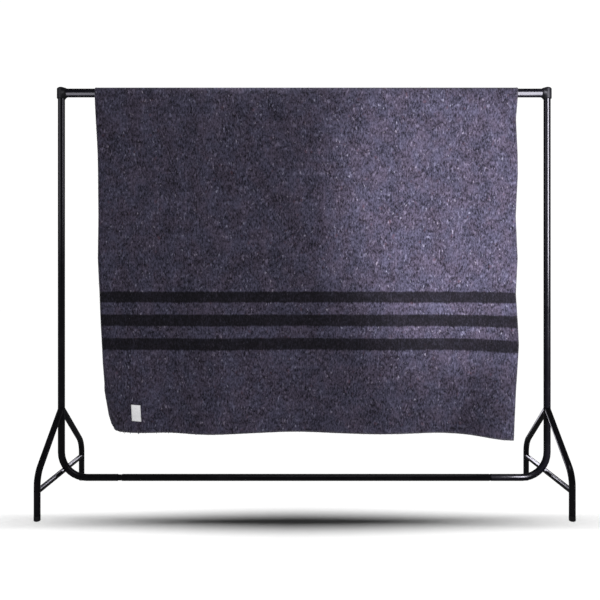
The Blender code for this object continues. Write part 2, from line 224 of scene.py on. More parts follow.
FLECKS = (
    Fleck(scale=(125, 60), low=0.41, high=0.28, strength=0.48, color=(0.0045, 0.0040, 0.0065), offset=31.0),
    Fleck(scale=(120, 56), low=0.54, high=0.72, strength=0.46, color=(0.200, 0.188, 0.275), offset=3.0),
    Fleck(scale=(110, 60), low=0.65, high=0.77, strength=0.60, color=(0.340, 0.325, 0.420), offset=7.0),
    Fleck(scale=(62, 38), low=0.66, high=0.74, strength=0.40, color=(0.090, 0.046, 0.062), offset=11.0),
)


def scaled_noise(tree, place, scale, offset=0.0, detail=NOISE_DETAIL, roughness=NOISE_ROUGHNESS):
    """Noise over the flat cloth, with its own scale across and along."""
    moved = add_node(tree, "ShaderNodeMapping", {
        "Vector": place, "Scale": (*scale, 1.0), "Location": (offset, offset, 0)})
    texture = add_node(tree, "ShaderNodeTexNoise", {
        "Vector": moved.outputs["Vector"], "Scale": 1.0, "Detail": detail, "Roughness": roughness})
    return texture.outputs["Fac"]


def stripe_mask(tree, along, wander):
    """1 on the stripes near both ends of the cloth."""
    from_middle = math_node(tree, "ABSOLUTE", math_node(tree, "SUBTRACT", along, BLANKET_LENGTH / 2))
    from_end = math_node(tree, "SUBTRACT", BLANKET_LENGTH / 2, from_middle)
    shifted = math_node(tree, "ADD", from_end, wander)
    total = None
    for low, high in STRIPES:
        rise = ramp_between(tree, shifted, low - STRIPE_EDGE, low + STRIPE_EDGE)
        fall = ramp_between(tree, shifted, high + STRIPE_EDGE, high - STRIPE_EDGE)
        window = math_node(tree, "MULTIPLY", rise, fall)
        total = window if total is None else math_node(tree, "ADD", total, window)
    return total


# %% Make the wool


def make_wool():
    """Felted wool with grain, clouds, flecks and stripes."""
    material, tree, shader = new_material("milled_wool")
    flat, along = flat_coordinates(tree)
    tone = None
    for layer in GROUND_NOISES:
        grain = scaled_noise(tree, flat, layer.scale, layer.offset, roughness=GRAIN_ROUGHNESS)
        weighed = math_node(tree, "MULTIPLY", grain, layer.weight)
        tone = weighed if tone is None else math_node(tree, "ADD", tone, weighed)
    ground = mix_colors(tree, ramp_between(tree, tone, *GROUND_RANGE), WOOL_DARK, WOOL_PALE)
    cluster = ramp_between(tree, scaled_noise(tree, flat, CLUSTER_SCALE, CLUSTER_OFFSET), *CLUSTER_RANGE)
    for fleck in FLECKS:
        peaks = scaled_noise(tree, flat, fleck.scale, fleck.offset, FLECK_DETAIL, FLECK_ROUGHNESS)
        share = ramp_between(tree, peaks, fleck.low, fleck.high, 0.0, fleck.strength)
        ground = mix_colors(tree, math_node(tree, "MULTIPLY", share, cluster), ground, fleck.color)
    warmth = ramp_between(tree, scaled_noise(tree, flat, WARMTH_SCALE, WARMTH_OFFSET), *WARMTH_RANGE)
    tint = mix_colors(tree, warmth, COOL_TINT, WARM_TINT)
    tinted = add_node(tree, "ShaderNodeVectorMath", operation="MULTIPLY")
    tree.links.new(ground, tinted.inputs[0])
    tree.links.new(tint, tinted.inputs[1])

    wander = scaled_noise(tree, flat, WANDER_SCALE, WANDER_OFFSET)
    wander = math_node(tree, "MULTIPLY", math_node(tree, "SUBTRACT", wander, NOISE_MEAN), 2 * STRIPE_WANDER)
    mask = stripe_mask(tree, along, wander)
    worn = math_node(tree, "MULTIPLY", mask, ramp_between(tree, tone, *WORN_RANGE))
    color = mix_colors(tree, worn, tinted.outputs["Vector"], WOOL_STRIPE)
    finish_shader(tree, shader, color, tone, WOOL_BUMP, WOOL_PLAIN)
    return material


WOOL = make_wool()
print("wool stripes at", STRIPES, "from each end")

# %% [markdown]
# ## The hung cloth
#
# The cloth lies over the rail and its two drops hang almost flat, with long soft folds that open
# towards the hems. The lower left corner rolls back and the lower right one hangs a little lower.
# A simulated cloth would fall into folds of its own, so the shape is laid by rule instead. Each
# level line is followed in fine steps, which keeps the cloth's width around its folds.

# %% Sizes of the cloth
Fold = namedtuple("Fold", "across forward half_width top")
BLANKET_WIDTH = 1.56
FRONT_LENGTH = 1.287
BACK_LENGTH = 0.713
BLANKET_THICKNESS = 0.003
BLANKET_MIDDLE_X = 0.005
RAIL_Z = 1.5068
RAIL_RADIUS = 0.016
WRAP_CLEARANCE = 0.0006
WRAP_RADIUS = RAIL_RADIUS + WRAP_CLEARANCE + BLANKET_THICKNESS / 2
WRAP_ANGLE = math.radians(80)
EASE_LENGTH = 0.05
EASE_STEPS = 24
FINE_STEPS = 520
FRONT_FOLDS = (
    Fold(across=0.270, forward=-0.012, half_width=0.075, top=0.55),
    Fold(across=0.430, forward=0.027, half_width=0.120, top=0.20),
    Fold(across=0.745, forward=-0.025, half_width=0.130, top=0.45),
    Fold(across=1.060, forward=0.018, half_width=0.140, top=0.10),
    Fold(across=1.275, forward=-0.009, half_width=0.085, top=0.50),
    Fold(across=1.520, forward=0.064, half_width=0.110, top=0.45),
)
BACK_FOLDS = (
    Fold(across=0.210, forward=-0.020, half_width=0.120, top=0.15),
    Fold(across=0.560, forward=-0.004, half_width=0.110, top=0.35),
    Fold(across=0.880, forward=-0.017, half_width=0.150, top=0.20),
    Fold(across=1.330, forward=-0.024, half_width=0.130, top=0.10),
)
CORNER_DROOP = Fold(across=1.600, forward=0.015, half_width=0.150, top=0.45)
CURL_WIDTH = 0.24
CURL_POWER = 2.5
LEFT_CURL = ((0, 0), (0.55, 5), (0.70, 11), (0.80, 18), (0.88, 28), (0.925, 46), (0.957, 57),
             (0.987, 72), (1, 86))
BACK_CURL = ((0, 0), (1, 14))
EDGE_LINES = ((0, 0.001, -0.005), (0.10, 0.007, 0.006), (0.20, 0.014, 0), (0.26, 0.015, -0.001),
              (0.38, 0.016, 0.007), (0.50, 0.013, 0), (0.60, 0.018, 0.009), (0.74, 0.020, -0.001),
              (0.86, 0.020, 0.007), (1, 0.006, 0.013))

# %% [markdown]
# Besides the long folds the cloth has small creases: a soft shadow line above the top stripe, shallow dents
# where it was folded for storage, and a pucker round the sewn label. They are placed one by one, each a few
# millimetres deep. A faint wave everywhere keeps the cloth from looking ironed.

# %% Creases placed one by one
Crease = namedtuple("Crease", "across down half_width half_height forward lean")
FRONT_CREASES = (
    Crease(0.86, 0.752, 0.230, 0.013, -0.0030, 0.00),
    Crease(0.82, 0.728, 0.200, 0.016, 0.0022, 0.01),
    Crease(0.20, 0.40, 0.050, 0.300, 0.0026, 0.06),
    Crease(0.61, 0.36, 0.055, 0.260, -0.0022, -0.05),
    Crease(1.02, 0.44, 0.060, 0.300, -0.0024, 0.04),
    Crease(1.31, 0.30, 0.050, 0.240, 0.0022, -0.04),
    Crease(1.49, 0.62, 0.045, 0.220, 0.0036, 0.03),
    Crease(0.33, 1.04, 0.050, 0.120, -0.0030, 0.10),
    Crease(0.07, 0.98, 0.040, 0.110, 0.0024, -0.10),
    Crease(1.37, 1.14, 0.050, 0.080, -0.0036, -0.18),
    Crease(0.139, 1.213, 0.034, 0.046, 0.0012, 0.00),
)
BACK_CREASES = (
    Crease(0.36, 0.38, 0.060, 0.200, 0.0030, 0.08),
    Crease(0.74, 0.52, 0.050, 0.160, -0.0026, -0.06),
    Crease(1.14, 0.34, 0.055, 0.220, 0.0030, 0.05),
    Crease(0.95, 0.58, 0.240, 0.014, -0.0024, 0.01),
)
CREASE_START = (0.05, 0.22)
WAVES = ((7.0, 0.0016), (22.0, 0.0006))
WAVE_STRETCH = 0.7
FRONT_WAVE_SEED = 1.5
BACK_WAVE_SEED = 8.5


def smooth_step(value, low, high):
    """0 below low, 1 above high and smooth between."""
    part = min(max((value - low) / (high - low), 0.0), 1.0)
    return part * part * (3 - 2 * part)


def bell(across, fold):
    """Soft rise and fall of one fold across the cloth."""
    return np.exp(-((across - fold.across) / fold.half_width) ** 2)


def crease_height(across, down, creases, seed):
    """How far the small creases and waves stand out at these places."""
    height = np.zeros_like(across)
    for crease in creases:
        middle = crease.across + crease.lean * (down - crease.down)
        wide = ((across - middle) / crease.half_width) ** 2
        high = ((down - crease.down) / crease.half_height) ** 2
        height += crease.forward * np.exp(-wide - high)
    for scale, size in WAVES:
        below = down * scale * WAVE_STRETCH
        height += [size * noise.noise(Vector((x * scale, below, seed))) for x in across]
    return height * smooth_step(down, *CREASE_START)


# %% Lay the cloth row by row


def level_line(across, fall, folds, curl):
    """X and Y of one level line of the cloth, followed at its true length."""
    fine = np.linspace(0.0, BLANKET_WIDTH, FINE_STEPS + 1)
    back = np.zeros_like(fine)
    for fold in folds:
        back -= fold.forward * smooth_step(fall, fold.top, 1.0) * bell(fine, fold)
    heading = np.arctan(np.gradient(back, fine))
    turn = math.radians(np.interp(fall, [row[0] for row in curl], [row[1] for row in curl]))
    heading -= turn * np.clip(1 - fine / CURL_WIDTH, 0.0, 1.0) ** CURL_POWER
    middle_heading = (heading[1:] + heading[:-1]) / 2
    step = BLANKET_WIDTH / FINE_STEPS
    x = np.concatenate(([0.0], np.cumsum(np.cos(middle_heading) * step)))
    y = np.concatenate(([0.0], np.cumsum(np.sin(middle_heading) * step)))
    half = BLANKET_WIDTH / 2
    x += BLANKET_MIDDLE_X - np.interp(half, fine, x)
    y += np.interp(half, fine, back) - np.interp(half, fine, y)
    falls = [row[0] for row in EDGE_LINES]
    left_in = np.interp(fall, falls, [row[1] for row in EDGE_LINES])
    right_in = np.interp(fall, falls, [row[2] for row in EDGE_LINES])
    off_middle = (fine - half) / half
    x += np.where(off_middle < 0, left_in, -right_in) * off_middle ** 2
    return np.interp(across, fine, x), np.interp(across, fine, y)


def hang_path(distance):
    """Distance out from the rail's axis, and height, this far along the cloth from the crest."""
    on_rail = min(distance, WRAP_RADIUS * WRAP_ANGLE)
    angle = on_rail / WRAP_RADIUS
    out = WRAP_RADIUS * math.sin(angle)
    height = RAIL_Z + WRAP_RADIUS * math.cos(angle)
    left = min(distance - on_rail, EASE_LENGTH)
    for index in range(EASE_STEPS):
        part = (index + 0.5) / EASE_STEPS * left / EASE_LENGTH
        slope = WRAP_ANGLE + (math.pi / 2 - WRAP_ANGLE) * part
        out += math.cos(slope) * left / EASE_STEPS
        height -= math.sin(slope) * left / EASE_STEPS
    return out, height - max(distance - WRAP_RADIUS * WRAP_ANGLE - EASE_LENGTH, 0.0)


def cloth_row(across, along):
    """Points of the cloth. along is 0 at the crest, negative in front and positive behind."""
    in_front = along < 0
    down = abs(along)
    fall = down / (FRONT_LENGTH if in_front else BACK_LENGTH)
    out, height = hang_path(down)
    folds = FRONT_FOLDS if in_front else BACK_FOLDS
    x, y = level_line(across, fall, folds, LEFT_CURL if in_front else BACK_CURL)
    creases = FRONT_CREASES if in_front else BACK_CREASES
    seed = FRONT_WAVE_SEED if in_front else BACK_WAVE_SEED
    stand = out + crease_height(across, down, creases, seed)
    y = y - stand if in_front else y + stand
    droop = np.zeros_like(x)
    if in_front:
        depth = CORNER_DROOP.forward * smooth_step(fall, CORNER_DROOP.top, 1.0)
        droop = depth * bell(across, CORNER_DROOP)
    return np.column_stack((x, y, height - droop))


# %% Build the blanket
CLOTH_COLUMNS = 150
ROW_SPACING = 0.0095
CREST_STEPS = 10


def cloth_rows():
    """Places along the cloth from the front hem to the back hem, closer over the rail."""
    crest = WRAP_RADIUS * WRAP_ANGLE + EASE_LENGTH
    front_steps = round((FRONT_LENGTH - crest) / ROW_SPACING)
    back_steps = round((BACK_LENGTH - crest) / ROW_SPACING)
    front = np.linspace(-FRONT_LENGTH, -crest, front_steps + 1)
    middle = np.linspace(-crest, crest, 2 * CREST_STEPS + 1)
    back = np.linspace(crest, BACK_LENGTH, back_steps + 1)
    return np.concatenate((front, middle[1:-1], back))


def build_sheet(name, columns, rows, points, uvs, material, thickness):
    """A grid of quads with flat coordinates, given its thickness by Solidify."""
    faces = []
    for row in range(rows):
        for column in range(columns):
            corner = row * (columns + 1) + column
            faces.append((corner, corner + 1, corner + columns + 2, corner + columns + 1))
    mesh = bpy.data.meshes.new(name)
    mesh.from_pydata(points, [], faces)
    layer = mesh.uv_layers.new(name="flat")
    corner_vertices = np.zeros(len(mesh.loops), int)
    mesh.loops.foreach_get("vertex_index", corner_vertices)
    layer.data.foreach_set("uv", np.array(uvs, np.float32)[corner_vertices].ravel())
    mesh.shade_smooth()
    thing = add_mesh_object(name, mesh, material)
    solidify = thing.modifiers.new("Thickness", "SOLIDIFY")
    solidify.thickness = thickness
    solidify.offset = 0.0
    solidify.use_even_offset = True
    return thing


cloth_across = np.linspace(0.0, BLANKET_WIDTH, CLOTH_COLUMNS + 1)
cloth_along = cloth_rows()
cloth_grid = [cloth_row(cloth_across, along) for along in cloth_along]
cloth_points = [tuple(point) for row in cloth_grid for point in row]
cloth_flat = [(across, along + FRONT_LENGTH) for along in cloth_along for across in cloth_across]
blanket = build_sheet("blanket_cloth", CLOTH_COLUMNS, len(cloth_along) - 1, cloth_points, cloth_flat,
                      WOOL, BLANKET_THICKNESS)
print("blanket", count_triangles(blanket), "triangles")

# %% [markdown]
# ## Rack finishes
#
# The rack's steel tubes have a black powder coat, which is glossy with a faint orange peel and
# picks up a little dust. The corner fittings and foot caps are moulded plastic with a finer, duller
# grain. Noise on object coordinates gives both, and the gloss itself stays a plain value.

# %% Make the rack's materials
TUBE_BLACK = (0.0034, 0.0031, 0.0052)
TUBE_DUST = (0.0095, 0.0088, 0.0125)
PLASTIC_BLACK = (0.0120, 0.0115, 0.0145)
PLASTIC_DUST = (0.026, 0.025, 0.029)
TUBE_GLOSS = (0.22, 0.30)
PLASTIC_GLOSS = (0.38, 0.55)
TUBE_PEEL_SCALE = 420
PLASTIC_GRAIN_SCALE = 2200
TUBE_BUMP = (0.02, 0.0003)
PLASTIC_BUMP = (0.30, 0.0003)
TUBE_COAT = {"Coat Weight": 0.20, "Coat Roughness": 0.15}
DUST_CLOUDS = (9.0, 5.0, 0.65)
DUST_RANGE = (0.45, 0.78)
GLOSS_RANGE = (0.3, 0.8)


def make_coating(name, colors, gloss, grain_scale, bump, plain):
    """A black finish with dust, a bump of its own scale and a roughness that varies."""
    material, tree, shader = new_material(name)
    clouds = object_noise(tree, *DUST_CLOUDS)
    color = mix_colors(tree, ramp_between(tree, clouds, *DUST_RANGE), *colors)
    plain = {"Roughness": ramp_between(tree, clouds, *GLOSS_RANGE, *gloss), **plain}
    finish_shader(tree, shader, color, object_noise(tree, grain_scale, NOISE_DETAIL), bump, plain)
    return material


POWDER_COAT = make_coating("gloss_powder_coat", (TUBE_BLACK, TUBE_DUST), TUBE_GLOSS, TUBE_PEEL_SCALE,
                           TUBE_BUMP, TUBE_COAT)
MOULDED_PLASTIC = make_coating("moulded_plastic", (PLASTIC_BLACK, PLASTIC_DUST), PLASTIC_GLOSS,
                               PLASTIC_GRAIN_SCALE, PLASTIC_BUMP, {})
print("rack materials", POWDER_COAT.name, MOULDED_PLASTIC.name)

# %% [markdown]
# ## Smooth tubes
#
# The solid model's tubes are faceted and their triangles are loose. A tube's highlight shows each
# facet, so every rack piece is copied, its doubled points are merged and its faces are shaded
# smooth up to its real edges. The small rounded ends would tilt the shading all along a tube, so
# large faces weigh more in it. The copy keeps the exact shape and place of the solid.

# %% Smooth the rack's pieces
MERGE_DISTANCE = 0.00002
SHARP_ANGLE = math.radians(38)
LARGE_FACE_WEIGHT = 90
PLASTIC_WORDS = ("corner_fitting", "foot_cap")


def smooth_copy(node):
    """A merged and smoothly shaded copy of a node, in the place of the node."""
    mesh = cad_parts[node].data.copy()
    shape = bmesh.new()
    shape.from_mesh(mesh)
    bmesh.ops.remove_doubles(shape, verts=shape.verts, dist=MERGE_DISTANCE)
    shape.to_mesh(mesh)
    shape.free()
    mesh.shade_smooth()
    mesh.set_sharp_from_angle(angle=SHARP_ANGLE)
    is_plastic = node.startswith(PLASTIC_WORDS)
    piece = add_mesh_object(f"{node}_smooth", mesh, MOULDED_PLASTIC if is_plastic else POWDER_COAT)
    shading = piece.modifiers.new("Shading", "WEIGHTED_NORMAL")
    shading.weight = LARGE_FACE_WEIGHT
    shading.keep_sharp = True
    return finish_piece(piece, "black_plastic" if is_plastic else "black_tube", node)


rack_nodes = sorted(set(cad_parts) - {"blanket", "label"})
rack_pieces = {node: smooth_copy(node) for node in rack_nodes}
print("smooth rack pieces", len(rack_pieces))

# %% [markdown]
# ## Sewing
#
# The two cut ends of the blanket are overlocked: loops of soft grey yarn wrap the edge about every
# 4.5 mm. The long sides are woven selvedges, where each weft thread turns back in a small loop. The
# label is held by short running stitches. All of these are one bent piece of yarn, repeated along a
# line, so one node tree makes them. It takes a mesh that holds only points, where two attributes
# say how each loop is turned, and a third says how large it is.

# %% Build the node tree for loops of yarn
LOOP_STEPS = 8
LOOP_SIDES = 4


def new_growth_tree(name, kinds):
    """A geometry tree with these inputs, their identifiers and what its input node gives."""
    tree = bpy.data.node_groups.new(name, "GeometryNodeTree")
    sockets = {}
    for title, kind in {"Geometry": "Geometry", **kinds, "Material": "Material"}.items():
        socket = tree.interface.new_socket(title, in_out="INPUT", socket_type=f"NodeSocket{kind}")
        sockets[title] = socket.identifier
    tree.interface.new_socket("Geometry", in_out="OUTPUT", socket_type="NodeSocketGeometry")
    return tree, sockets, add_node(tree, "NodeGroupInput").outputs


def make_thread(tree, curve, radius, sides, capped):
    """The mesh of a thread that follows a curve."""
    ring = add_node(tree, "GeometryNodeCurvePrimitiveCircle", {"Resolution": sides, "Radius": radius})
    return add_node(tree, "GeometryNodeCurveToMesh", {
        "Curve": curve, "Profile Curve": ring.outputs["Curve"], "Fill Caps": capped}).outputs["Mesh"]


def read_attribute(tree, name, kind):
    """A node that reads an attribute of the points."""
    return add_node(tree, "GeometryNodeInputNamedAttribute", {"Name": name}, data_type=kind).outputs[0]


def make_loop_tree():
    """A bent piece of yarn on each point of a mesh."""
    kinds = dict.fromkeys(("Reach", "Depth", "Yarn radius", "Start", "Sweep"), "Float")
    tree, sockets, given = new_growth_tree("yarn_loops", kinds)
    arc = add_node(tree, "GeometryNodeCurveArc", {
        "Resolution": LOOP_STEPS, "Radius": 1.0, "Start Angle": given["Start"],
        "Sweep Angle": given["Sweep"]})
    size = add_node(tree, "ShaderNodeCombineXYZ", {"X": given["Reach"], "Y": given["Depth"], "Z": 1.0})
    oval = add_node(tree, "GeometryNodeTransform", {
        "Geometry": arc.outputs["Curve"], "Scale": size.outputs["Vector"]})
    yarn = make_thread(tree, oval.outputs["Geometry"], given["Yarn radius"], LOOP_SIDES, True)
    turn = add_node(tree, "FunctionNodeAxesToRotation", {
        "Primary Axis": read_attribute(tree, "axis_x", "FLOAT_VECTOR"),
        "Secondary Axis": read_attribute(tree, "axis_z", "FLOAT_VECTOR"),
    }, primary_axis="X", secondary_axis="Z")
    finish_tree(tree, {"Points": given["Geometry"], "Instance": yarn, "Rotation": turn.outputs["Rotation"],
                       "Scale": read_attribute(tree, "size", "FLOAT")}, given["Material"])
    return tree, sockets


def finish_tree(tree, spread, material):
    """End a tree: a piece on every point as real geometry, with smooth faces and the material."""
    pieces = add_node(tree, "GeometryNodeInstanceOnPoints", spread).outputs["Instances"]
    real = add_node(tree, "GeometryNodeRealizeInstances", {"Geometry": pieces})
    smooth = add_node(tree, "GeometryNodeSetShadeSmooth", {"Geometry": real.outputs["Geometry"]})
    dressed = add_node(tree, "GeometryNodeSetMaterial", {
        "Geometry": smooth.outputs["Geometry"], "Material": material})
    add_node(tree, "NodeGroupOutput", {"Geometry": dressed.outputs["Geometry"]})


LOOP_TREE, LOOP_SOCKETS = make_loop_tree()
print("yarn loop tree inputs", list(LOOP_SOCKETS))

# %% Grow a tree's pieces on a mesh


def grow(name, source_mesh, tree, sockets, values, material):
    """Run a node tree on a mesh and keep the result as a plain mesh object."""
    source = bpy.data.objects.new(name + "_source", source_mesh)
    bpy.context.scene.collection.objects.link(source)
    modifier = source.modifiers.new("Grow", "NODES")
    modifier.node_group = tree
    for key, value in values.items():
        modifier[sockets[key]] = value
    modifier[sockets["Material"]] = material
    depsgraph = bpy.context.evaluated_depsgraph_get()
    mesh = bpy.data.meshes.new_from_object(source.evaluated_get(depsgraph))
    mesh.name = name
    bpy.data.objects.remove(source, do_unlink=True)
    return add_mesh_object(name, mesh, material)


def point_mesh(name, places, axes_x, axes_z, sizes):
    """A mesh of loose points with the attributes that turn and size what grows on them."""
    mesh = bpy.data.meshes.new(name)
    mesh.from_pydata([tuple(place) for place in places], [], [])
    for title, values in (("axis_x", axes_x), ("axis_z", axes_z)):
        layer = mesh.attributes.new(title, "FLOAT_VECTOR", "POINT")
        layer.data.foreach_set("vector", np.array(values, np.float32).ravel())
    mesh.attributes.new("size", "FLOAT", "POINT").data.foreach_set("value", np.array(sizes, np.float32))
    return mesh


# %% [markdown]
# The edging yarn is a little paler than the ground, as the thin light line along the hem shows. A
# twist of fine bands and a soft sheen keep it from looking like wire.

# %% Make the yarns
EDGE_YARN_COLORS = ((0.085, 0.080, 0.098), (0.210, 0.200, 0.230))
LABEL_THREAD_COLORS = ((0.50, 0.50, 0.51), (0.72, 0.72, 0.73))
EDGE_TWIST_SCALE = 900
LABEL_TWIST_SCALE = 1500
TWIST_DETAIL = 3.0
TWIST_ROUGHNESS = 0.6
TWIST_RANGE = (0.35, 0.68)
YARN_BUMP = (0.5, 0.0004)
YARN_PLAIN = {"Roughness": 0.90, "Specular IOR Level": 0.15, "Sheen Weight": 0.15, "Sheen Roughness": 0.50}


def make_yarn(name, colors, twist_scale):
    """A twisted yarn: noise in its colour and its height."""
    material, tree, shader = new_material(name)
    twist = object_noise(tree, twist_scale, TWIST_DETAIL, TWIST_ROUGHNESS)
    color = mix_colors(tree, ramp_between(tree, twist, *TWIST_RANGE), *colors)
    finish_shader(tree, shader, color, twist, YARN_BUMP, YARN_PLAIN)
    return material


EDGE_YARN = make_yarn("edging_yarn", EDGE_YARN_COLORS, EDGE_TWIST_SCALE)
LABEL_THREAD = make_yarn("label_thread", LABEL_THREAD_COLORS, LABEL_TWIST_SCALE)

# %% Overlock the ends and turn back the selvedges
END_PITCH = 0.0045
SIDE_PITCH = 0.0060
END_REACH = 0.0042
SIDE_REACH = 0.0024
EDGE_DEPTH = 0.0021
EDGE_YARN_RADIUS = 0.00055
EDGE_LEAN = 0.35
EDGE_INSET = 0.72
END_SIZES = (0.82, 1.18)
SIDE_SIZES = (0.70, 1.30)
LOOSE_LOOPS = ((0.066, 1.5), (0.092, 1.9), (0.118, 1.6), (0.150, 1.8), (0.214, 1.5), (0.262, 1.4))
STEP = 0.002
SEWING_SEED = 11
LOOP_START = math.radians(-150)
LOOP_SWEEP = math.radians(300)

random = np.random.default_rng(SEWING_SEED)


def unit(vectors):
    """Vectors at length 1."""
    return vectors / np.linalg.norm(vectors, axis=-1, keepdims=True)


def end_loops(end_along, pitch, reach):
    """Places and directions of the loops along a cut end of the cloth."""
    across = np.arange(pitch, BLANKET_WIDTH - pitch / 2, pitch)
    here = cloth_row(across, end_along)
    beside = cloth_row(across + STEP, end_along)
    inside = cloth_row(across, end_along - math.copysign(2 * STEP, end_along))
    outward = unit(here - inside)
    forward = unit(beside - here)
    sizes = random.uniform(*END_SIZES, len(across))
    for place, size in LOOSE_LOOPS:
        if end_along < 0:
            sizes[np.argmin(np.abs(across - place))] = size
    places = here - outward * reach * EDGE_INSET
    return places, outward + forward * EDGE_LEAN, forward - outward * EDGE_LEAN, sizes


def side_loops(side_across, pitch, reach):
    """Places and directions of the loops along a woven side of the cloth."""
    alongs = np.arange(-FRONT_LENGTH + pitch, BACK_LENGTH - pitch / 2, pitch)
    toward = -STEP if side_across > 0 else STEP
    rows = [cloth_row(np.array([side_across, side_across + toward]), along) for along in alongs]
    above = [cloth_row(np.array([side_across]), along + STEP)[0] for along in alongs]
    here = np.array([row[0] for row in rows])
    outward = unit(here - np.array([row[1] for row in rows]))
    forward = unit(np.array(above) - here)
    sizes = random.uniform(*SIDE_SIZES, len(alongs))
    return here - outward * reach * EDGE_INSET, outward, forward, sizes


def sew_edge(name, loops, reach):
    """One line of edge loops as a piece."""
    mesh = point_mesh(name + "_points", *loops)
    values = {"Reach": reach, "Depth": EDGE_DEPTH, "Yarn radius": EDGE_YARN_RADIUS,
              "Start": LOOP_START, "Sweep": LOOP_SWEEP}
    piece = grow(name, mesh, LOOP_TREE, LOOP_SOCKETS, values, EDGE_YARN)
    return finish_piece(piece, "wool")


sewing = [
    sew_edge("front_hem_overlock", end_loops(-FRONT_LENGTH, END_PITCH, END_REACH), END_REACH),
    sew_edge("back_hem_overlock", end_loops(BACK_LENGTH, END_PITCH, END_REACH), END_REACH),
    sew_edge("left_selvedge", side_loops(0.0, SIDE_PITCH, SIDE_REACH), SIDE_REACH),
    sew_edge("right_selvedge", side_loops(BLANKET_WIDTH, SIDE_PITCH, SIDE_REACH), SIDE_REACH),
]
print("edge sewing", [count_triangles(piece) for piece in sewing], "triangles")

# %% [markdown]
# ## Label
#
# A small white label of woven ribbon is sewn on near the lower left corner. It stays plain: only
# its ribs and its turned-in ends show. It is a thin sheet that follows the cloth below it, a hair
# above its surface, so that it bends with the same roll of the corner.

# %% Make the label's ribbon
RIBBON_WHITE = (0.80, 0.80, 0.81)
RIBBON_SHADE = (0.56, 0.56, 0.585)
RIB_PITCH = 0.0011
FOLD_OVER = 0.0055
FOLD_STEP = 0.0006
RIB_SHARE = 0.25
RIBBON_GRAIN_SCALE = (1500, 700)
RIBBON_GRAIN_SHARE = 0.55
RIBBON_BUMP = (0.6, 0.0004)
RIBBON_PLAIN = {"Roughness": 0.62, "Specular IOR Level": 0.30, "Sheen Weight": 0.20}


def make_ribbon():
    """White ribbon with fine ribs across and a step where its ends are turned in."""
    material, tree, shader = new_material("white_ribbon")
    flat, along = flat_coordinates(tree)
    phase = math_node(tree, "MULTIPLY", along, 2 * math.pi / RIB_PITCH)
    ribs = math_node(tree, "MULTIPLY_ADD", math_node(tree, "SINE", phase), 0.5, 0.5)
    grain = math_node(tree, "MULTIPLY", scaled_noise(tree, flat, RIBBON_GRAIN_SCALE), RIBBON_GRAIN_SHARE)
    far_fold = LABEL_LENGTH - FOLD_OVER
    low_end = ramp_between(tree, along, FOLD_OVER, FOLD_OVER - FOLD_STEP)
    high_end = ramp_between(tree, along, far_fold, far_fold + FOLD_STEP)
    turned_in = math_node(tree, "ADD", low_end, high_end)
    shade = math_node(tree, "MULTIPLY_ADD", ribs, RIB_SHARE, grain)
    color = mix_colors(tree, shade, RIBBON_WHITE, RIBBON_SHADE)
    height = math_node(tree, "ADD", math_node(tree, "MULTIPLY", ribs, RIB_SHARE), turned_in)
    finish_shader(tree, shader, color, height, RIBBON_BUMP, RIBBON_PLAIN)
    return material


LABEL_WIDTH = 0.0355
LABEL_LENGTH = 0.060
LABEL_THICKNESS = 0.0008
LABEL_GAP = 0.0004
LABEL_ACROSS = 0.139
LABEL_ABOVE_HEM = 0.0735
LABEL_SIDE_LEAN = math.radians(5.7)
LABEL_TOP_LEAN = math.radians(3.6)
LABEL_COLUMNS = 12
LABEL_ROWS = 20
RIBBON = make_ribbon()

# %% Lay the label and sew it on
STITCH_PITCH = 0.0032
STITCH_REACH = 0.0012
STITCH_DEPTH = 0.0006
THREAD_RADIUS = 0.00022
STITCH_INSET = 0.0016


def label_frame(side, up, lift):
    """A point on or above the label, the way across it and the way up it."""
    across = LABEL_ACROSS + side - up * math.tan(LABEL_SIDE_LEAN)
    along = LABEL_ABOVE_HEM + up - side * math.tan(LABEL_TOP_LEAN) - FRONT_LENGTH
    here, beside = cloth_row(np.array([across, across + STEP]), along)
    above = cloth_row(np.array([across]), along + STEP)[0]
    right = unit(beside - here)
    upward = unit(above - here)
    normal = unit(np.cross(right, upward))
    return here + normal * lift, right, upward


def build_label():
    """The label as a thin sheet with its own flat coordinates."""
    lift = BLANKET_THICKNESS / 2 + LABEL_GAP + LABEL_THICKNESS / 2
    points = []
    flat = []
    for row in range(LABEL_ROWS + 1):
        for column in range(LABEL_COLUMNS + 1):
            side = (column / LABEL_COLUMNS - 0.5) * LABEL_WIDTH
            up = (row / LABEL_ROWS - 0.5) * LABEL_LENGTH
            points.append(tuple(label_frame(side, up, lift)[0]))
            flat.append((side + LABEL_WIDTH / 2, up + LABEL_LENGTH / 2))
    return build_sheet("woven_label_sheet", LABEL_COLUMNS, LABEL_ROWS, points, flat, RIBBON,
                       LABEL_THICKNESS)


def sew_label():
    """Running stitches a little inside the label's four sides."""
    lift = BLANKET_THICKNESS / 2 + LABEL_GAP + LABEL_THICKNESS
    half_side = LABEL_WIDTH / 2 - STITCH_INSET
    half_up = LABEL_LENGTH / 2 - STITCH_INSET
    sides = np.arange(-half_side + STITCH_PITCH / 2, half_side, STITCH_PITCH)
    ups = np.arange(-half_up + STITCH_PITCH / 2, half_up, STITCH_PITCH)
    spots = [(side, up, True) for up in (-half_up, half_up) for side in sides]
    spots += [(side, up, False) for side in (-half_side, half_side) for up in ups]
    places = []
    axes_x = []
    axes_z = []
    for side, up, is_level in spots:
        point, right, upward = label_frame(side, up, lift)
        places.append(point)
        axes_x.append(right if is_level else upward)
        axes_z.append(-upward if is_level else right)
    mesh = point_mesh("label_stitch_points", places, axes_x, axes_z, np.ones(len(places)))
    values = {"Reach": STITCH_REACH, "Depth": STITCH_DEPTH, "Yarn radius": THREAD_RADIUS,
              "Start": 0.0, "Sweep": math.pi}
    return grow("label_stitches", mesh, LOOP_TREE, LOOP_SOCKETS, values, LABEL_THREAD)


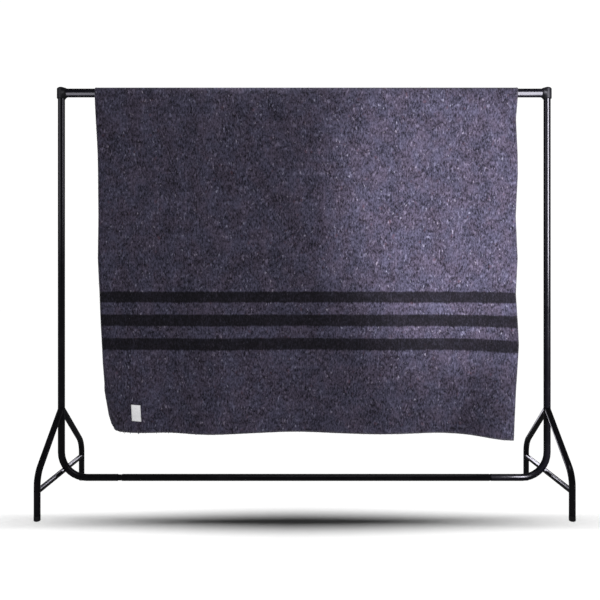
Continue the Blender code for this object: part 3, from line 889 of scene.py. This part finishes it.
label = finish_piece(build_label(), "woven_label", "label")
label_stitches = finish_piece(sew_label(), "woven_label")
print("label", count_triangles(label), "triangles, stitches", count_triangles(label_stitches))

# %% [markdown]
# ## Raised hair
#
# The raised hair stands a few millimetres off the felt, which softens the blanket's outline. A
# second node tree scatters short bent hairs over both faces of the cloth. Each one leans its own
# way and has its own length, from a fixed seed.

# %% Grow the hair
HAIR_DENSITY = 850.0
HAIR_LENGTH = 0.0050
HAIR_RADIUS = 0.00014
HAIR_SEED = 5
HAIR_COLORS = ((0.030, 0.027, 0.038), (0.110, 0.102, 0.130))
HAIR_TINT_SCALE = 45
HAIR_STEPS = 4
HAIR_SIDES = 3
HAIR_START = math.radians(180)
HAIR_SWEEP = math.radians(-105)
HAIR_SIZES = (0.35, 1.15)
RANDOM_LIMITS = (2, 3)
RANDOM_RESULT = 1


def random_between(tree, limits, seed):
    """A random number between two limits, another one on each point."""
    node = add_node(tree, "FunctionNodeRandomValue", {"Seed": seed}, data_type="FLOAT")
    for index, limit in zip(RANDOM_LIMITS, limits):
        node.inputs[index].default_value = limit
    return node.outputs[RANDOM_RESULT]


def make_hair_tree():
    """Short bent hairs over the faces of a mesh."""
    kinds = {"Density": "Float", "Length": "Float", "Hair radius": "Float", "Seed": "Int"}
    tree, sockets, given = new_growth_tree("raised_hair", kinds)
    points = add_node(tree, "GeometryNodeDistributePointsOnFaces", {
        "Mesh": given["Geometry"], "Density": given["Density"], "Seed": given["Seed"]}).outputs
    arc = add_node(tree, "GeometryNodeCurveArc", {
        "Resolution": HAIR_STEPS, "Start Angle": HAIR_START, "Sweep Angle": HAIR_SWEEP,
        "Radius": given["Length"]})
    rooted = add_node(tree, "GeometryNodeTransform", {
        "Geometry": arc.outputs["Curve"], "Rotation": (math.radians(90), 0, 0)})
    hair = make_thread(tree, rooted.outputs["Geometry"], given["Hair radius"], HAIR_SIDES, False)
    spin = add_node(tree, "FunctionNodeAxisAngleToRotation", {
        "Axis": (0, 0, 1), "Angle": random_between(tree, (0.0, 2 * math.pi), given["Seed"])})
    turned = add_node(tree, "FunctionNodeRotateRotation", {
        "Rotation": points["Rotation"], "Rotate By": spin.outputs["Rotation"]}, rotation_space="LOCAL")
    size = random_between(tree, HAIR_SIZES, given["Seed"])
    finish_tree(tree, {"Points": points["Points"], "Instance": hair, "Scale": size,
                       "Rotation": turned.outputs["Rotation"]}, given["Material"])
    return tree, sockets


HAIR = make_yarn("raised_hair", HAIR_COLORS, HAIR_TINT_SCALE)
hair_tree, hair_sockets = make_hair_tree()
depsgraph = bpy.context.evaluated_depsgraph_get()
felt_mesh = bpy.data.meshes.new_from_object(blanket.evaluated_get(depsgraph))
hair_values = {"Density": HAIR_DENSITY, "Length": HAIR_LENGTH, "Hair radius": HAIR_RADIUS,
               "Seed": HAIR_SEED}
hair = grow("raised_hair", felt_mesh, hair_tree, hair_sockets, hair_values, HAIR)
finish_piece(hair, "wool")
print("hair", count_triangles(hair), "triangles")

finish_piece(blanket, "wool", "blanket")

# %% [markdown]
# ## Floor and white studio
#
# The rack stands in a white studio. A world that shows white to the camera, and gives the cloth
# an even fill, stands for the room. Glossy tubes would turn grey in such a room, so the world is
# dim in their reflections, apart from the backdrop behind the rack. The floor is plain and wide.

# %% Set the world
scene = bpy.context.scene
scene.view_settings.view_transform = "Standard"
WORLD_SHOWN = 1.05
WORLD_FILL = 0.545
WORLD_FRONT_GLOSS = 0.04
WORLD_BACK_GLOSS = 0.06
BACKDROP_RANGE = (0.55, 0.95)


def make_world():
    """White where the camera looks past the object, an even fill for cloth, dim in gloss."""
    world = bpy.data.worlds.new("white_studio")
    world.use_nodes = True
    tree = world.node_tree
    background = tree.nodes["Background"]
    path = add_node(tree, "ShaderNodeLightPath")
    heading = add_node(tree, "ShaderNodeTexCoord").outputs["Generated"]
    depth = add_node(tree, "ShaderNodeSeparateXYZ", {"Vector": heading}).outputs["Y"]
    gloss = ramp_between(tree, depth, *BACKDROP_RANGE, WORLD_FRONT_GLOSS, WORLD_BACK_GLOSS)
    gloss = math_node(tree, "SUBTRACT", gloss, WORLD_FILL)
    seen = math_node(tree, "MULTIPLY", path.outputs["Is Camera Ray"], WORLD_SHOWN - WORLD_FILL)
    mirrored = math_node(tree, "MULTIPLY", path.outputs["Is Glossy Ray"], gloss)
    strength = math_node(tree, "ADD", math_node(tree, "ADD", seen, mirrored), WORLD_FILL)
    background.inputs["Color"].default_value = (1.0, 1.0, 1.0, 1.0)
    tree.links.new(strength, background.inputs["Strength"])
    world.cycles.sampling_method = "NONE"
    scene.world = world


make_world()

# %% Lay the floor
FLOOR_HALF = 14.0
FLOOR_SHADE = 0.060
FLOOR_BOUNCE = 0.034
FLOOR_IN_GLOSS = 0.004


def make_floor():
    """A wide plain floor that the floor lamp lights up to white, painted darker in the light it bounces and
    near black in reflections.
    """
    material, tree, shader = new_material("studio_floor")
    path = add_node(tree, "ShaderNodeLightPath")
    # Painted reflection and bounce light: where glossy tubes reflect the floor it is near black, and the
    # light it bounces is darker than its lit white.
    color = mix_colors(tree, path.outputs["Is Glossy Ray"], (FLOOR_BOUNCE,) * 3, (FLOOR_IN_GLOSS,) * 3)
    color = mix_colors(tree, path.outputs["Is Camera Ray"], color, (FLOOR_SHADE,) * 3)
    tree.links.new(color, shader.inputs["Base Color"])
    shader.inputs["Roughness"].default_value = 1.0
    shader.inputs["Specular IOR Level"].default_value = 0.0
    mesh = bpy.data.meshes.new("studio_floor")
    shape = bmesh.new()
    bmesh.ops.create_grid(shape, x_segments=1, y_segments=1, size=FLOOR_HALF)
    shape.to_mesh(mesh)
    shape.free()
    floor = add_mesh_object("studio_floor", mesh, material)
    return floor


floor = make_floor()

# %% [markdown]
# ## Lights
#
# A spot from the right, with a soft edge, lights the right half of the cloth and leaves the left
# half to the fill. Two weak boxes low on the same side carry some of it to the lower corner, and a
# box behind lights the back drop. A lamp close above lights the cloth on the rail. A glossy tube
# shows each light as a line, so the boxes for the rack stand where the mirror direction of a tube
# points, and light linking lets each one reach only the pieces that need its line. The light of
# these boxes is a little violet, as the lines on the real tubes are. One distant lamp straight
# above lights only the floor. A narrow black flag hangs in its light, out of the camera's sight,
# and its edge is soft because the lamp is wide. That gives the long oval shade on the floor.

# %% Group what each light reaches


def group_of(name, things):
    """A collection that light linking can name."""
    group = bpy.data.collections.new(name)
    for thing in things:
        group.objects.link(thing)
    return group


def rack_group(name, *nodes):
    """A group of the rack pieces of these nodes."""
    return group_of(name, [rack_pieces[node] for node in nodes])


cloth_group = group_of("cloth_pieces", [blanket, label, label_stitches, hair, *sewing])
label_group = group_of("label_pieces", [label, label_stitches])
rail_group = rack_group("rail_piece", "top_rail")
upright_group = rack_group("upper_pieces", "upright_left", "upright_right", "corner_fitting_left",
                           "corner_fitting_right")
left_upright = rack_group("left_upright_piece", "upright_left")
right_tubes = rack_group("right_tube_pieces", "upright_right", "base_bend_right")
right_fitting = rack_group("right_fitting_piece", "corner_fitting_right")
right_legs = rack_group("right_leg_pieces", "leg_front_right", "leg_back_right")
right_bar = rack_group("right_bar_piece", "cross_bar_right")
left_bar = rack_group("left_bar_piece", "cross_bar_left")
tube_group = rack_group("lower_tube_pieces", "base_bar", "base_bend_left", "base_bend_right",
                        "leg_front_right", "leg_back_right")

# %% Hang the softboxes
Box = namedtuple("Box", "name place target width height power reaches")
SOFTBOXES = (
    Box("crest_lamp", (-0.15, -0.04, 1.92), (-0.15, 0.0, 1.5), 0.4, 0.2, 2.9, cloth_group),
    Box("side_box", (2.2, -1.4, 0.35), (0.75, 0.0, 0.25), 0.5, 0.9, 34, cloth_group),
    Box("corner_box", (1.25, -0.65, 0.18), (0.78, 0.0, 0.24), 0.3, 0.2, 2.6, cloth_group),
    Box("back_softbox", (-1.6, 2.6, 1.8), (0.0, 0.0, 1.0), 0.8, 1.4, 30, cloth_group),
    Box("right_front_box", (1.80, -2.35, 1.62), (0.90, 0.0, 1.3), 0.9, 1.64, 150, right_tubes),
    Box("right_far_box", (2.00, -0.78, 1.90), (-0.90, 0.0, 1.4), 1.0, 1.2, 15, left_upright),
    Box("left_wide_box", (-2.20, -2.00, 1.80), (-0.90, 0.0, 1.3), 1.6, 1.4, 9, upright_group),
    Box("high_front_box", (0.70, -1.20, 2.60), (0.50, 0.0, 0.1), 2.4, 0.4, 4.5, tube_group),
    Box("fitting_box", (1.80, -2.35, 1.75), (0.90, 0.0, 1.5), 0.9, 1.3, 62, right_fitting),
    Box("leg_edge_panel", (0.40, 0.74, 0.12), (0.90, 0.0, 0.33), 0.55, 0.18, 1.6, right_legs),
    Box("rail_panel_right", (1.05, -0.75, 1.02), (0.80, 0.0, 1.50), 0.6, 1.50, 44, rail_group),
    Box("rail_panel_left", (-1.15, -0.75, 1.02), (-0.85, 0.0, 1.50), 0.6, 1.00, 7.6, rail_group),
    Box("right_bar_panel", (0.83, 1.20, 0.53), (0.90, 0.1, 0.1), 0.80, 0.38, 9.6, right_bar),
    Box("left_bar_panel", (-0.84, 1.20, 0.50), (-0.90, 0.1, 0.1), 0.70, 0.28, 4.0, left_bar),
    Box("label_lamp", (-0.66, -1.30, 0.45), (-0.65, 0.0, 0.34), 0.5, 0.3, 5.6, label_group),
)
RACK_LIGHT_COLOR = (0.90, 0.88, 1.0)


def hang_lamp(light, place, target, reaches):
    """Hang a light at its place, turned to its target, for what it reaches."""
    lamp = bpy.data.objects.new(light.name, light)
    lamp.location = place
    aim = Vector(target) - Vector(place)
    lamp.rotation_euler = aim.to_track_quat("-Z", "Y").to_euler()
    scene.collection.objects.link(lamp)
    lamp.light_linking.receiver_collection = reaches
    return lamp


def add_softbox(box):
    """A rectangular area light, which the camera doesn't see."""
    light = bpy.data.lights.new(box.name, "AREA")
    light.shape = "RECTANGLE"
    light.size = box.width
    light.size_y = box.height
    light.energy = box.power
    if box.reaches not in (cloth_group, label_group):
        light.color = RACK_LIGHT_COLOR
    hang_lamp(light, box.place, box.target, box.reaches).visible_camera = False


for box in SOFTBOXES:
    add_softbox(box)

# %% Aim the key spot
KEY_PLACE = (1.00, -2.20, 0.66)
KEY_TARGET = (0.54, 0.0, 1.11)
KEY_POWER = 380
KEY_CONE = math.radians(39)
KEY_BLEND = 0.76
KEY_NARROW = 0.65
KEY_SOFTNESS = 0.12
KEY_COLOR = (1.0, 0.985, 1.0)

key_light = bpy.data.lights.new("key_spot", "SPOT")
key_light.energy = KEY_POWER
key_light.spot_size = KEY_CONE
key_light.spot_blend = KEY_BLEND
key_light.shadow_soft_size = KEY_SOFTNESS
key_light.color = KEY_COLOR
hang_lamp(key_light, KEY_PLACE, KEY_TARGET, cloth_group).scale = (KEY_NARROW, 1.0, 1.0)

# %% Light the floor and hang the flag in that light
FLAG_MIDDLE = (-0.03, -0.234, 0.35)
FLAG_OUTLINE = ((-1.15, 0.000), (-1.02, 0.008), (-0.84, 0.018), (-0.71, 0.030), (-0.57, 0.042),
                (-0.44, 0.055), (-0.30, 0.067), (-0.17, 0.076), (0.0, 0.082), (0.17, 0.076),
                (0.30, 0.067), (0.44, 0.055), (0.57, 0.042), (0.71, 0.030), (0.84, 0.018),
                (1.02, 0.008), (1.15, 0.000))
FLOOR_LAMP_STRENGTH = 53.0
FLOOR_LAMP_WIDTH = math.radians(23.5)


def make_flag():
    """A long black card with pointed ends, hidden from the camera, from reflections and from bounced light.
    """
    far_side = [(x, half, 0.0) for x, half in FLAG_OUTLINE]
    near_side = [(x, -half, 0.0) for x, half in reversed(FLAG_OUTLINE[1:-1])]
    mesh = bpy.data.meshes.new("floor_lamp_flag")
    mesh.from_pydata(far_side + near_side, [], [tuple(range(len(far_side) + len(near_side)))])
    flag = add_mesh_object("floor_lamp_flag", mesh, floor.active_material)
    flag.location = FLAG_MIDDLE
    for ray in ("camera", "diffuse", "glossy"):
        setattr(flag, f"visible_{ray}", False)
    return flag


floor_light = bpy.data.lights.new("floor_lamp", "SUN")
floor_light.energy = FLOOR_LAMP_STRENGTH
floor_light.angle = FLOOR_LAMP_WIDTH
floor_lamp = bpy.data.objects.new("floor_lamp", floor_light)
floor_lamp.location = (0.0, 0.0, 4.0)
scene.collection.objects.link(floor_lamp)
floor_lamp.light_linking.receiver_collection = group_of("floor_only", [floor])
floor_lamp.light_linking.blocker_collection = group_of("flag_only", [make_flag()])
print("lights", len(SOFTBOXES) + 1, "for the object and 1 for the floor")
